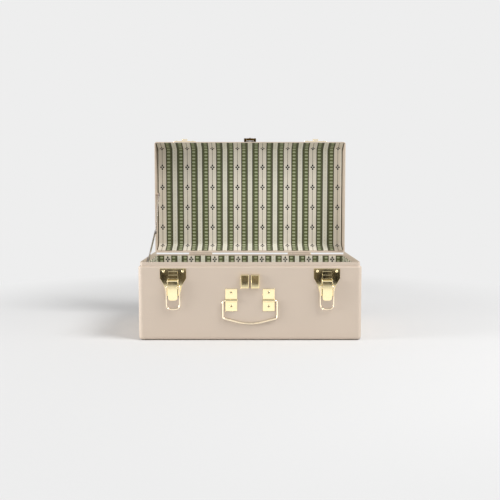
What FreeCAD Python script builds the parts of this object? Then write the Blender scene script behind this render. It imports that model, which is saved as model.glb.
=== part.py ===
import FreeCAD, Part
import math
import os
from FreeCAD import Vector

os.makedirs("parts", exist_ok=True)

# A small steel trunk with a hinged lid, shown with the lid open.
# Millimetres. Z is up, X runs along the front, and the front faces minus Y.
# The origin is the middle of the base. Every lid piece is drawn with the lid
# shut and then turned up about the lid hinge.

# Overall sizes
case_width = 420.0
case_depth = 244.0
case_height = 140.0
lid_height = 42.0
lid_open_angle = 90.0

# Sheet steel and shared clearances
sheet = 0.8
cut_overrun = 5.0
face_gap = 0.3
running_gap = 0.05

# Case wall, rolled rim, pan and collar
case_corner_radius = 9.0
pan_height = 9.0
pan_edge_radius = 6.5
rim_roll_thickness = 2.4
rim_roll_height = 4.0
rim_roll_radius = 2.6
collar_rise = 8.0
collar_length = 28.0
collar_back_drop = 2.0
collar_edge_radius = 0.3

# Linings
lining = 1.0
case_lining_drop = 3.0
floor_board = 1.2
floor_fit = 0.3
lid_lining_front_margin = 4.0
lid_lining_back_margin = 14.0

# Lid
lid_rim_band = 9.0
lid_slope = 0.40
lid_shoulder_radius = 8.0
lid_corner_radius = 5.0
lid_hem_thickness = 1.6
lid_hem_height = 3.5

# Lid hinges
hinge_end_inset = 100.5
hinge_width = 49.0
hinge_rise = 0.6
hinge_knuckle_radius = 2.3
hinge_end_knuckle = 10.0
hinge_pin_radius = 1.0
hinge_leaf = 1.2
hinge_leaf_drop = 28.0
hinge_leaf_top = 8.7
hinge_leaf_corner = 2.6
hinge_rivet_edge = 7.5
hinge_rivet_drop = 20.0
hinge_lid_rivet_edge = 5.5
hinge_lid_rivet_gap = 0.7

# Rivets and screws
rivet_shank_radius = 1.4
rivet_head_radius = 2.5
rivet_head_height = 1.0
rivet_tail_radius = 2.0
rivet_tail_height = 1.0
screw_head_radius = 2.9
screw_head_height = 1.1
screw_cross_width = 1.0
screw_cross_length = 4.2
screw_cross_depth = 0.6

# Draw latches on the case front
latch_end_inset = 66.0
latch_plate_width = 49.0
latch_plate_height = 51.8
latch_plate_drop = 3.5
latch_plate_thickness = 1.2
latch_shoulder_drop = 18.8
latch_waist_share = 0.68
latch_foot_share = 0.5
latch_waist_height_share = 0.42
latch_rivet_edge = 6.5
latch_rivet_drop = 5.3
latch_foot_rivet_rise = 5.5
latch_bridge_width = 17.6
latch_bridge_drop = 5.6
latch_bridge_height = 13.0
latch_bridge_proud = 3.0
latch_bridge_step = 1.2
latch_ear_thickness = 1.2
latch_ear_radius = 4.6
latch_fulcrum_drop = 24.3
latch_fulcrum_standoff = 4.0
latch_fulcrum_radius = 1.3

# Lever that pulls the latch tight
lever_width = 17.4
lever_roll_radius = 2.6
lever_length = 35.2
lever_strap = 1.2
lever_step_drop = 9.3
lever_step_out = 1.1
lever_tip_radius = 5.0
lever_flange_top = 4.6
lever_flange_height = 9.6
lever_eye_wall = 0.7

# Wire loop of the latch
loop_wire_radius = 1.25
loop_ear_gap = 1.05
loop_corner_radius = 8.5
loop_eye_bend = 2.0
loop_pivot_drop = 9.4
loop_pivot_inset = 1.0
loop_end_reach = 1.0

# Strikes on the lid front
strike_height = 7.2
strike_rise = 1.2
strike_thickness = 2.0
strike_corner_radius = 1.5
strike_hook_width = 12.0
strike_wire_rise = 5.8
strike_shelf = 1.4
strike_lip = 1.0
strike_lip_rise = 2.4
strike_wire_gap = 0.3

# Staple on the case front and the hasp on the lid front
staple_block_width = 15.6
staple_block_height = 25.8
staple_block_depth = 6.5
staple_block_round = 1.6
staple_gap = 3.9
staple_drop = 15.0
staple_stud_radius = 2.0
staple_stud_tail_radius = 3.2
padlock_hole_radius = 2.25
padlock_hole_inset = 3.0
hasp_width = 26.4
hasp_base_height = 7.6
hasp_base_rise = 1.2
hasp_base = 1.2
hasp_knuckle_radius = 2.6
hasp_end_knuckle = 5.2
hasp_pin_radius = 1.1
hasp_axis_rise = 5.0
hasp_flap = 1.4
hasp_flap_gap = 0.4
hasp_flap_foot_gap = 5.3
hasp_flap_shoulder = 3.6
hasp_flap_radius = 4.0
hasp_fin = 2.8
hasp_fin_length = 19.0
hasp_fin_end = 2.0
hasp_fin_clearance = 0.6
hasp_rivet_gap = 0.2

# Drop handle
handle_plate_spacing = 70.4
handle_plate_width = 22.6
handle_plate_height = 42.8
handle_plate_drop = 41.6
handle_plate_thickness = 1.2
handle_plate_round = 0.8
handle_axis_rise = 20.3
handle_wire_radius = 1.8
handle_wire_standoff = 0.4
handle_bead_wall = 1.0
handle_screw_low_inset = 9.5
handle_screw_high_inset = 7.5
handle_leg_gap = 2.7
handle_leg_length = 33.4
handle_dip = 13.2
handle_bend_radius = 4.5

# Folding stay inside the left end
stay_width = 9.0
stay_bar = 1.2
stay_pin_radius = 2.0
stay_head_radius = 3.6
stay_head_height = 1.0
stay_boss_radius = 3.5
stay_stud_tail_height = 1.2
stay_stud_tail_radius = 2.6
stay_case_forward = 50.0
stay_case_drop = 11.0
stay_lid_reach = 131.4
stay_lid_rise = 12.4
stay_knee_back = 77.5
stay_knee_rise = 51.5

# Places worked out from the sizes
front_y = -case_depth / 2
back_y = case_depth / 2
end_x = case_width / 2
collar_top = case_height + collar_rise
collar_inset = sheet + rim_roll_thickness
lining_inset = collar_inset + sheet
inside_inset = lining_inset + lining
collar_corner_x = end_x - case_corner_radius
collar_corner_y = back_y - case_corner_radius
hinge_y = back_y + hinge_knuckle_radius + face_gap
hinge_z = case_height + hinge_rise
lid_top = case_height + lid_height
fulcrum_z = case_height - latch_plate_drop - latch_fulcrum_drop
fulcrum_out = latch_plate_thickness + latch_fulcrum_standoff
loop_z = fulcrum_z - loop_pivot_drop
loop_out = fulcrum_out - loop_pivot_inset
loop_half = lever_width / 2 + face_gap + latch_ear_thickness + loop_ear_gap + loop_wire_radius
loop_length = case_height + strike_wire_rise - loop_z
handle_plate_base = case_height - handle_plate_drop - handle_plate_height
handle_z = handle_plate_base + handle_axis_rise
handle_leg_half = (handle_plate_spacing + handle_plate_width) / 2 + handle_leg_gap + handle_wire_radius
handle_out = handle_wire_standoff + handle_wire_radius
hasp_z = case_height + hasp_axis_rise
hasp_out = staple_block_depth + hasp_flap_gap + hasp_flap - hasp_knuckle_radius
staple_base = case_height - staple_drop - staple_block_height
staple_middle = staple_base + staple_block_height / 2
hasp_flap_length = hasp_z - staple_base - hasp_flap_foot_gap
padlock_out = staple_block_depth - padlock_hole_inset
stay_outer_x = -(end_x - inside_inset - face_gap)
along_x = Vector(1, 0, 0)


def front(x, out, z):
    """A point at a distance out from the case front."""
    return Vector(x, front_y - out, z)


def behind(x, out, z):
    """A point at a distance out from the case back."""
    return Vector(x, back_y + out, z)


def polygon_x(corners, low_x, high_x):
    """Solid between two X values from a list of (y, z) corners."""
    points = [Vector(low_x, y, z) for y, z in corners]
    face = Part.Face(Part.makePolygon(points + points[:1]))
    return face.extrude(Vector(high_x - low_x, 0, 0))


def front_block(low_x, high_x, low_out, high_out, low_z, high_z):
    """Box in front of the case, given by its limits."""
    size = (high_x - low_x, high_out - low_out, high_z - low_z)
    return Part.makeBox(*size, front(low_x, high_out, low_z))


def rod_x(radius, low_x, high_x, y, z):
    """Round bar along X."""
    return Part.makeCylinder(radius, high_x - low_x, Vector(low_x, y, z), along_x)


def edges_where(shape, test):
    """Edges of a shape whose box passes the test."""
    return [edge for edge in shape.Edges if test(edge.BoundBox)]


def fused(pieces):
    """Join overlapping solids into one clean solid."""
    joined = pieces[0]
    for piece in pieces[1:]:
        joined = joined.fuse(piece)
    return joined.removeSplitter()


def cut_all(shape, tools):
    """Take each tool away from the shape."""
    for tool in tools:
        shape = shape.cut(tool)
    return shape


def rounded_prism(inset, low, high):
    """Upright block with round corners, set in from the case's outer face."""
    width = case_width - 2 * inset
    depth = case_depth - 2 * inset
    corner = Vector(-width / 2, -depth / 2, low)
    block = Part.makeBox(width, depth, high - low, corner)
    upright = edges_where(block, lambda box: box.ZLength > (high - low) / 2)
    return block.makeFillet(case_corner_radius - inset, upright)


def at_height(shape, height):
    """Edges of a shape that lie flat at one height."""
    near = sheet / 8
    return edges_where(shape, lambda box: box.ZLength < near and abs(box.ZMin - height) < near)


def rivet(seat, outward, grip, tail_height=rivet_tail_height):
    """Round-headed rivet: head on the seat, shank through the grip, tail inside."""
    axis = Vector(outward)
    shank_start = seat - axis * grip
    head_ball_radius = (rivet_head_radius ** 2 + rivet_head_height ** 2) / (2 * rivet_head_height)
    ball = Part.makeSphere(head_ball_radius, seat - axis * (head_ball_radius - rivet_head_height))
    head = ball.common(Part.makeCylinder(rivet_head_radius, rivet_head_height, seat, axis))
    pieces = [head, Part.makeCylinder(rivet_shank_radius, grip, shank_start, axis)]
    if tail_height > 0:
        tail_start = shank_start - axis * tail_height
        pieces.append(Part.makeCylinder(rivet_tail_radius, tail_height, tail_start, axis))
    return fused(pieces)


def rivet_hole(seat, outward, grip):
    """Clearance hole for a rivet shank, through everything it grips."""
    start = seat - Vector(outward) * (grip + cut_overrun)
    reach = grip + cut_overrun * 2
    return Part.makeCylinder(rivet_shank_radius + running_gap, reach, start, Vector(outward))


def bent_wire(points, bends, radius):
    """Round wire through the points, with a round bend at each inner one."""
    edges = []
    start = points[0]
    for index, bend in enumerate(bends):
        corner = points[index + 1]
        incoming = (corner - points[index]).normalize()
        outgoing = (points[index + 2] - corner).normalize()
        turn = incoming.getAngle(outgoing)
        reach = bend * math.tan(turn / 2)
        first = corner - incoming * reach
        last = corner + outgoing * reach
        to_middle = (outgoing - incoming).normalize()
        centre = corner + to_middle * (bend / math.cos(turn / 2))
        middle = centre - to_middle * bend
        edges.append(Part.LineSegment(start, first).toShape())
        edges.append(Part.Arc(first, middle, last).toShape())
        start = last
    edges.append(Part.LineSegment(start, points[-1]).toShape())
    path = Part.Wire(edges)
    ring = Part.Wire(Part.makeCircle(radius, points[0], (points[1] - points[0]).normalize()))
    return path.makePipeShell([ring], True, False)


def opened(shape):
    """Turn a lid piece from shut to open about the lid hinge."""
    turned = shape.copy()
    turned.rotate(Vector(0, hinge_y, hinge_z), along_x, -lid_open_angle)
    return turned


# Places of the fasteners, shared by the pieces that they hold

def latch_centres():
    return [latch_end_inset - end_x, end_x - latch_end_inset]


def hinge_centres():
    return [hinge_end_inset - end_x, end_x - hinge_end_inset]


def handle_centres():
    return [-handle_plate_spacing / 2, handle_plate_spacing / 2]


def staple_centres():
    offset = (staple_gap + staple_block_width) / 2
    return [-offset, offset]


def latch_rivet_seats():
    seats = []
    top_z = case_height - latch_plate_drop - latch_rivet_drop
    foot_z = case_height - latch_plate_drop - latch_plate_height + latch_foot_rivet_rise
    for centre in latch_centres():
        for side in (-1, 1):
            across = side * (latch_plate_width / 2 - latch_rivet_edge)
            seats.append(front(centre + across, latch_plate_thickness, top_z))
        seats.append(front(centre, latch_plate_thickness, foot_z))
    return seats


def handle_screw_seats():
    low_z = handle_plate_base + handle_screw_low_inset
    high_z = handle_plate_base + handle_plate_height - handle_screw_high_inset
    return [front(centre, handle_plate_thickness, z) for centre in handle_centres()
            for z in (low_z, high_z)]


def hinge_case_rivet_seats():
    across = hinge_width / 2 - hinge_rivet_edge
    return [behind(centre + side * across, hinge_leaf, case_height - hinge_rivet_drop)
            for centre in hinge_centres() for side in (-1, 0, 1)]


def hinge_lid_rivet_seats():
    across = hinge_width / 2 - hinge_lid_rivet_edge
    rise = lid_hem_height + rivet_tail_radius + hinge_lid_rivet_gap
    return [behind(centre + side * across, hinge_leaf, case_height + rise)
            for centre in hinge_centres() for side in (-1, 1)]


def strike_rivet_seats():
    middle_z = case_height + strike_rise + strike_height / 2
    across = latch_plate_width / 2 - latch_rivet_edge
    return [front(centre + side * across, strike_thickness, middle_z)
            for centre in latch_centres() for side in (-1, 1)]


def hasp_rivet_seats():
    middle_z = case_height + hasp_base_rise + hasp_base_height / 2
    across = hasp_width / 2 - hasp_end_knuckle - rivet_head_radius - hasp_rivet_gap
    return [front(side * across, hasp_base, middle_z) for side in (-1, 1)]


outward_front = Vector(0, -1, 0)
outward_back = Vector(0, 1, 0)


# Case

def case_wall():
    outer = rounded_prism(0, pan_height, case_height)
    outer = outer.makeFillet(rim_roll_radius, at_height(outer, case_height))
    hollow = rounded_prism(sheet, pan_height - cut_overrun, case_height - rim_roll_height)
    mouth = rounded_prism(collar_inset, case_height - rim_roll_height, case_height + cut_overrun)
    holes = [rivet_hole(seat, outward_front, sheet) for seat in latch_rivet_seats() + handle_screw_seats()]
    holes += [rivet_hole(seat, outward_back, sheet) for seat in hinge_case_rivet_seats()]
    for centre in staple_centres():
        start = front(centre, -sheet - cut_overrun, staple_middle)
        reach = sheet + cut_overrun * 2
        holes.append(Part.makeCylinder(staple_stud_radius + running_gap, reach, start, outward_front))
    return cut_all(outer, [hollow, mouth] + holes)


def pan_solid(inset):
    """Outer or inner form of the pressed base."""
    block = rounded_prism(inset, inset, pan_height + (cut_overrun if inset else 0))
    return block.makeFillet(pan_edge_radius - inset, at_height(block, inset))


def case_bottom():
    return pan_solid(0).cut(pan_solid(sheet))


def stay_stud_place():
    return (-stay_case_forward, case_height - stay_case_drop)


def collar_ring():
    """The collar all the way round, lower along the back where the hinges are."""
    low = collar_top - collar_length
    outer = rounded_prism(collar_inset, low, collar_top)
    inner = rounded_prism(lining_inset, low - cut_overrun, collar_top + cut_overrun)
    ring = outer.cut(inner)
    ring = ring.makeFillet(collar_edge_radius, at_height(ring, collar_top))
    back_top = case_height - collar_back_drop
    above_back = Part.makeBox(case_width, cut_overrun * 4, collar_top,
                              Vector(-end_x, collar_corner_y, back_top))
    return ring.cut(above_back)


def collar_strip(low_x, high_x, low_y, high_y):
    """The part of the collar inside a plan rectangle."""
    span = Part.makeBox(high_x - low_x, high_y - low_y, collar_top, Vector(low_x, low_y, cut_overrun))
    return collar_ring().common(span)


def case_collar_front():
    return collar_strip(-collar_corner_x, collar_corner_x, front_y, -collar_corner_y)


def case_collar_back():
    return collar_strip(-collar_corner_x, collar_corner_x, collar_corner_y, back_y)


def case_collar_right():
    return collar_strip(collar_corner_x, end_x, -collar_corner_y, collar_corner_y)


def case_collar_left():
    strip = collar_strip(-end_x, -collar_corner_x, -collar_corner_y, collar_corner_y)
    stud_y, stud_z = stay_stud_place()
    hole = rod_x(stay_pin_radius + running_gap, -end_x, -end_x + inside_inset + cut_overrun, stud_y, stud_z)
    return strip.cut(hole)


def case_collar_corners():
    pieces = []
    for low_x, high_x in ((-end_x, -collar_corner_x), (collar_corner_x, end_x)):
        pieces.append(collar_strip(low_x, high_x, front_y, -collar_corner_y))
        pieces.append(collar_strip(low_x, high_x, collar_corner_y, back_y))
    return Part.makeCompound(pieces)


def case_floor_board():
    half_width = end_x - pan_edge_radius - floor_fit
    half_depth = back_y - pan_edge_radius - floor_fit
    corner = Vector(-half_width, -half_depth, sheet)
    return Part.makeBox(half_width * 2, half_depth * 2, floor_board, corner)


def case_floor_lining():
    low = sheet + floor_board
    return rounded_prism(inside_inset + floor_fit, low, low + lining)


def case_lining():
    low = sheet + floor_board
    high = case_height - case_lining_drop
    outer = rounded_prism(lining_inset, low, high)
    inner = rounded_prism(inside_inset, low - cut_overrun, high + cut_overrun)
    stud_y, stud_z = stay_stud_place()
    hole = rod_x(stay_pin_radius + running_gap, -end_x, -end_x + inside_inset + cut_overrun, stud_y, stud_z)
    return cut_all(outer, [inner, hole])


# Lid, drawn shut

def lid_profile(inset, low):
    """Corners (y, z) of the lid's cross-section, set in from its outer face."""
    half = back_y - inset
    stretch = math.sqrt(1 + lid_slope ** 2)
    knee_z = case_height + lid_rim_band - inset * (stretch - 1) / lid_slope
    top_z = lid_top - inset
    shoulder = half - lid_slope * (top_z - knee_z)
    right = [(half, low), (half, knee_z), (shoulder, top_z)]
    left = [(-y, z) for y, z in reversed(right)]
    return right + left


def lid_prism(inset, low, half_length):
    """The lid's cross-section run along X, with its two top shoulders rounded."""
    block = polygon_x(lid_profile(inset, low), -half_length, half_length)
    shoulders = [edge for edge in at_height(block, lid_top - inset)
                 if edge.BoundBox.XLength > half_length]
    return block.makeFillet(lid_shoulder_radius - inset, shoulders)


def lid_solid(inset, low):
    """The lid's form set in from its outer face, with round end corners."""
    block = lid_prism(inset, low, end_x - inset)
    flat = sheet / 8
    ends = edges_where(block, lambda box: box.XLength < flat and box.ZMax > low + flat)
    return block.makeFillet(lid_corner_radius - inset, ends)


def lid_shell():
    outer = lid_solid(0, case_height)
    hollow = lid_solid(sheet, case_height)
    above_hem = Part.makeBox(case_width, case_depth, lid_height,
                             Vector(-end_x, front_y, case_height + lid_hem_height))
    mouth = lid_solid(lid_hem_thickness, case_height - cut_overrun)
    holes = [rivet_hole(seat, outward_front, strike_thickness) for seat in strike_rivet_seats()]
    holes += [rivet_hole(seat, outward_front, hasp_base) for seat in hasp_rivet_seats()]
    holes += [rivet_hole(seat, outward_back, hinge_leaf) for seat in hinge_lid_rivet_seats()]
    return cut_all(outer, [hollow.common(above_hem), mouth] + holes)


def lid_lining():
    half_length = end_x - lid_corner_radius
    outer = lid_prism(sheet, case_height, half_length)
    inner = lid_prism(sheet + lining, case_height - cut_overrun, half_length + cut_overrun)
    front_trim = front_block(-end_x, end_x, -case_depth / 2, 0, case_height - cut_overrun,
                             case_height + lid_lining_front_margin)
    back_trim = Part.makeBox(case_width, case_depth / 2, lid_lining_back_margin + cut_overrun,
                             Vector(-end_x, 0, case_height - cut_overrun))
    return cut_all(outer, [inner, front_trim, back_trim])


# Lid hinges, at the back

def hinge_knuckle(low_x, high_x):
    return rod_x(hinge_knuckle_radius, low_x, high_x, hinge_y, hinge_z)


def hinge_pin_hole(centre):
    half = hinge_width / 2 + cut_overrun
    return rod_x(hinge_pin_radius + running_gap, centre - half, centre + half, hinge_y, hinge_z)


def hinge_case_leaf(centre):
    half = hinge_width / 2
    low = case_height - hinge_leaf_drop
    high = hinge_z - hinge_knuckle_radius - face_gap
    plate = Part.makeBox(hinge_width, hinge_leaf, high - low, behind(centre - half, 0, low))
    low_edges = edges_where(plate, lambda box: box.YLength > hinge_leaf / 2 and box.ZMax < high
                            and box.ZLength < sheet)
    plate = plate.makeFillet(hinge_leaf_corner, low_edges)
    diagonal = hinge_knuckle_radius * math.sqrt(0.5)
    strap = [(back_y, high - hinge_leaf), (back_y, hinge_z - hinge_leaf), (hinge_y, hinge_z),
             (hinge_y + diagonal, hinge_z - diagonal), (back_y + hinge_leaf, high - hinge_leaf)]
    pieces = [plate]
    for side in (-1, 1):
        outer_x = centre + side * half
        inner_x = centre + side * (half - hinge_end_knuckle)
        low_x, high_x = min(outer_x, inner_x), max(outer_x, inner_x)
        pieces.append(polygon_x(strap, low_x, high_x))
        pieces.append(hinge_knuckle(low_x, high_x))
    holes = [rivet_hole(seat, outward_back, sheet) for seat in hinge_case_rivet_seats()]
    return cut_all(fused(pieces), [hinge_pin_hole(centre)] + holes)


def hinge_lid_leaf(centre):
    half = hinge_width / 2
    middle = half - hinge_end_knuckle - face_gap
    low = hinge_z + hinge_knuckle_radius + face_gap
    high = case_height + hinge_leaf_top
    plate = Part.makeBox(hinge_width, hinge_leaf, high - low, behind(centre - half, 0, low))
    diagonal = hinge_knuckle_radius * math.sqrt(0.5)
    strap = [(back_y, low + hinge_leaf), (back_y, hinge_z + hinge_leaf), (hinge_y, hinge_z),
             (hinge_y + diagonal, hinge_z + diagonal), (back_y + hinge_leaf, low + hinge_leaf)]
    pieces = [plate, polygon_x(strap, centre - middle, centre + middle)]
    pieces.append(hinge_knuckle(centre - middle, centre + middle))
    holes = [rivet_hole(seat, outward_back, sheet) for seat in hinge_lid_rivet_seats()]
    return cut_all(fused(pieces), [hinge_pin_hole(centre)] + holes)


def hinge_pins():
    pins = []
    for centre in hinge_centres():
        half = hinge_width / 2
        pin = rod_x(hinge_pin_radius, centre - half, centre + half, hinge_y, hinge_z)
        caps = [rod_x(hinge_pin_radius * 2, centre - half - rivet_head_height, centre - half, hinge_y, hinge_z),
                rod_x(hinge_pin_radius * 2, centre + half, centre + half + rivet_head_height, hinge_y, hinge_z)]
        pins.append(fused([pin] + caps))
    return Part.makeCompound(pins)


# Draw latches, on the case front

def latch_plate_outline():
    """Shield outline (across, height below the plate's top)."""
    half = latch_plate_width / 2
    drop = latch_plate_height - latch_shoulder_drop
    waist = half * latch_waist_share
    foot = half * latch_foot_share
    waist_drop = latch_shoulder_drop + drop * latch_waist_height_share
    right = [(half, 0), (half, latch_shoulder_drop), (waist, waist_drop), (foot, latch_plate_height)]
    return right + [(-across, down) for across, down in reversed(right)]


def latch_plate(centre):
    top_z = case_height - latch_plate_drop
    corners = [front(centre + across, 0, top_z - down) for across, down in latch_plate_outline()]
    plate = Part.Face(Part.makePolygon(corners + corners[:1])).extrude(outward_front * latch_plate_thickness)
    bridge_half = latch_bridge_width / 2
    bridge_top = top_z - latch_bridge_drop
    proud = latch_plate_thickness + latch_bridge_proud
    upper = front_block(centre - bridge_half, centre + bridge_half, 0, proud - latch_bridge_step,
                        bridge_top - latch_bridge_height / 2, bridge_top)
    lower = front_block(centre - bridge_half, centre + bridge_half, 0, proud,
                        bridge_top - latch_bridge_height, bridge_top - latch_bridge_height / 2)
    pieces = [plate, upper, lower]
    for side in (-1, 1):
        near = centre + side * (lever_width / 2 + face_gap)
        far = near + side * latch_ear_thickness
        low_x, high_x = min(near, far), max(near, far)
        pieces.append(rod_x(latch_ear_radius, low_x, high_x, front_y - fulcrum_out, fulcrum_z))
        pieces.append(front_block(low_x, high_x, 0, fulcrum_out, fulcrum_z - latch_ear_radius,
                                  fulcrum_z + latch_ear_radius))
    half = latch_plate_width / 2
    pin_hole = rod_x(latch_fulcrum_radius + running_gap, centre - half, centre + half,
                     front_y - fulcrum_out, fulcrum_z)
    shank_holes = [rivet_hole(seat, outward_front, sheet) for seat in latch_rivet_seats()]
    behind_wall = front_block(centre - half, centre + half, -cut_overrun, 0, 0, case_height)
    return cut_all(fused(pieces), [pin_hole, behind_wall] + shank_holes)


def latch_pins():
    pins = []
    half = lever_width / 2 + face_gap + latch_ear_thickness
    for centre in latch_centres():
        pins.append(rod_x(latch_fulcrum_radius, centre - half, centre + half,
                          front_y - fulcrum_out, fulcrum_z))
    return Part.makeCompound(pins)


def latch_lever(centre):
    half = lever_width / 2
    axis_y = front_y - fulcrum_out
    roll = rod_x(lever_roll_radius, centre - half, centre + half, axis_y, fulcrum_z)
    inner = axis_y - (lever_roll_radius - lever_strap)
    step_z = fulcrum_z - lever_step_drop
    tip_z = fulcrum_z - lever_length
    side_view = [(inner, fulcrum_z), (inner - lever_strap, fulcrum_z), (inner - lever_strap, step_z),
                 (inner - lever_step_out - lever_strap, step_z - lever_step_out),
                 (inner - lever_step_out - lever_strap, tip_z), (inner - lever_step_out, tip_z),
                 (inner - lever_step_out, step_z - lever_step_out), (inner, step_z)]
    strap = polygon_x(side_view, centre - half, centre + half)
    tip_edges = edges_where(strap, lambda box: box.XLength < sheet and box.ZMax < tip_z + sheet
                            and box.YLength > lever_strap / 2)
    strap = strap.makeFillet(lever_tip_radius, tip_edges)
    flange_top = fulcrum_z - lever_flange_top
    flange_low = flange_top - lever_flange_height
    pieces = [roll, strap]
    for side in (-1, 1):
        outer_x = centre + side * half
        inner_x = centre + side * (half - lever_strap)
        low_x, high_x = min(outer_x, inner_x), max(outer_x, inner_x)
        eye_inner = loop_out - loop_wire_radius - running_gap - lever_eye_wall
        strap_inner = fulcrum_out + lever_roll_radius - lever_strap
        pieces.append(front_block(low_x, high_x, eye_inner, strap_inner + lever_strap / 2,
                                  flange_low, flange_top))
    pin_hole = rod_x(latch_fulcrum_radius + running_gap, centre - half - cut_overrun,
                     centre + half + cut_overrun, axis_y, fulcrum_z)
    loop_hole = rod_x(loop_wire_radius + running_gap, centre - half - cut_overrun,
                      centre + half + cut_overrun, front_y - loop_out, loop_z)
    return cut_all(fused(pieces), [pin_hole, loop_hole])


def latch_loop(centre):
    half = loop_half
    low = loop_z - loop_length
    inner = lever_width / 2 - lever_strap - loop_end_reach
    across = [(-inner, loop_z), (-half, loop_z), (-half, low), (half, low), (half, loop_z), (inner, loop_z)]
    points = [front(centre + x, loop_out, z) for x, z in across]
    bends = [loop_eye_bend, loop_corner_radius, loop_corner_radius, loop_eye_bend]
    return bent_wire(points, bends, loop_wire_radius)


def strike(centre):
    half = latch_plate_width / 2
    low = case_height + strike_rise
    plate = front_block(centre - half, centre + half, 0, strike_thickness, low, low + strike_height)
    corners = edges_where(plate, lambda box: box.YLength > strike_thickness / 2)
    plate = plate.makeFillet(strike_corner_radius, corners)
    hook_half = strike_hook_width / 2
    wire_z = loop_z + loop_length
    shelf_top = wire_z - loop_wire_radius - strike_wire_gap
    lip_out = loop_out + loop_wire_radius + strike_wire_gap
    shelf = front_block(centre - hook_half, centre + hook_half, 0, lip_out + strike_lip,
                        shelf_top - strike_shelf, shelf_top)
    lip = front_block(centre - hook_half, centre + hook_half, lip_out, lip_out + strike_lip,
                      shelf_top - strike_shelf, shelf_top + strike_lip_rise)
    holes = [rivet_hole(seat, outward_front, strike_thickness) for seat in strike_rivet_seats()]
    return cut_all(fused([plate, shelf, lip]), holes)


# Staple and hasp, at the middle of the front

def staple_blocks():
    blocks = []
    for centre in staple_centres():
        half = staple_block_width / 2
        block = front_block(centre - half, centre + half, 0, staple_block_depth,
                            staple_base, staple_base + staple_block_height)
        face_edges = edges_where(block, lambda box: box.YMax < front_y - staple_block_depth / 2)
        block = block.makeFillet(staple_block_round, face_edges)
        stud = Part.makeCylinder(staple_stud_radius, sheet + rivet_tail_height,
                                 front(centre, -sheet - rivet_tail_height, staple_middle), outward_front)
        tail = Part.makeCylinder(staple_stud_tail_radius, rivet_tail_height,
                                 front(centre, -sheet - rivet_tail_height, staple_middle), outward_front)
        hole = rod_x(padlock_hole_radius, centre - half - cut_overrun, centre + half + cut_overrun,
                     front_y - padlock_out, staple_middle)
        blocks.append(fused([block, stud, tail]).cut(hole))
    return Part.makeCompound(blocks)


def hasp_plate():
    half = hasp_width / 2
    low = case_height + hasp_base_rise
    base = front_block(-half, half, 0, hasp_base, low, low + hasp_base_height)
    pieces = [base]
    web = hasp_knuckle_radius / 2
    for side in (-1, 1):
        outer_x = side * half
        inner_x = side * (half - hasp_end_knuckle)
        low_x, high_x = min(outer_x, inner_x), max(outer_x, inner_x)
        pieces.append(rod_x(hasp_knuckle_radius, low_x, high_x, front_y - hasp_out, hasp_z))
        pieces.append(front_block(low_x, high_x, 0, hasp_out, hasp_z - web, hasp_z + web))
    pin_hole = rod_x(hasp_pin_radius + running_gap, -half - cut_overrun, half + cut_overrun,
                     front_y - hasp_out, hasp_z)
    holes = [rivet_hole(seat, outward_front, hasp_base) for seat in hasp_rivet_seats()]
    return cut_all(fused(pieces), [pin_hole] + holes)


def hasp_flap_hanging():
    """The flap as it hangs over the staple with the lid shut."""
    half = hasp_width / 2
    middle = half - hasp_end_knuckle - face_gap
    outer = hasp_out + hasp_knuckle_radius
    knuckle = rod_x(hasp_knuckle_radius, -middle, middle, front_y - hasp_out, hasp_z)
    neck = front_block(-middle, middle, outer - hasp_flap, outer, hasp_z - hasp_flap_shoulder, hasp_z)
    low = hasp_z - hasp_flap_length
    plate = front_block(-half, half, outer - hasp_flap, outer, low, hasp_z - hasp_flap_shoulder)
    low_corners = edges_where(plate, lambda box: box.YLength > hasp_flap / 2 and box.ZMax < low + hasp_flap)
    plate = plate.makeFillet(hasp_flap_radius, low_corners)
    fin_half = hasp_fin / 2
    fin = front_block(-fin_half, fin_half, hasp_fin_clearance, outer - hasp_flap / 2,
                      low + hasp_fin_end, low + hasp_fin_end + hasp_fin_length)
    pin_hole = rod_x(hasp_pin_radius + running_gap, -half, half, front_y - hasp_out, hasp_z)
    lock_hole = rod_x(padlock_hole_radius, -half, half, front_y - padlock_out, staple_middle)
    return cut_all(fused([knuckle, neck, plate, fin]), [pin_hole, lock_hole])


def hasp_flap_folded():
    """The flap turned back against the lid front."""
    flap = hasp_flap_hanging()
    flap.rotate(front(0, hasp_out, hasp_z), along_x, -180)
    return flap


def hasp_pin():
    half = hasp_width / 2
    return rod_x(hasp_pin_radius, -half, half, front_y - hasp_out, hasp_z)


# Drop handle, on the case front

def handle_plate(centre):
    half = handle_plate_width / 2
    top = handle_plate_base + handle_plate_height
    plate = front_block(centre - half, centre + half, 0, handle_plate_thickness, handle_plate_base, top)
    face_edges = edges_where(plate, lambda box: box.YMax < front_y - handle_plate_thickness / 2)
    plate = plate.makeFillet(handle_plate_round, face_edges)
    bead_radius = handle_wire_radius + handle_bead_wall
    bead = rod_x(bead_radius, centre - half, centre + half, front_y - handle_out, handle_z)
    behind_wall = front_block(centre - handle_plate_width, centre + handle_plate_width, -cut_overrun, 0,
                              0, case_height)
    wire_hole = rod_x(handle_wire_radius + running_gap, centre - handle_plate_width,
                      centre + handle_plate_width, front_y - handle_out, handle_z)
    holes = [rivet_hole(seat, outward_front, sheet) for seat in handle_screw_seats()]
    return cut_all(fused([plate, bead]), [behind_wall, wire_hole] + holes)


def handle_bail():
    half = handle_leg_half
    low = handle_z - handle_leg_length
    inner = handle_plate_spacing / 2
    across = [(-inner, handle_z), (-half, handle_z), (-half, low), (0, low - handle_dip),
              (half, low), (half, handle_z), (inner, handle_z)]
    points = [front(x, handle_out, z) for x, z in across]
    sweep = half * half / handle_dip
    bends = [handle_bend_radius, handle_bend_radius, sweep / 2, handle_bend_radius, handle_bend_radius]
    return bent_wire(points, bends, handle_wire_radius)


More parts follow.
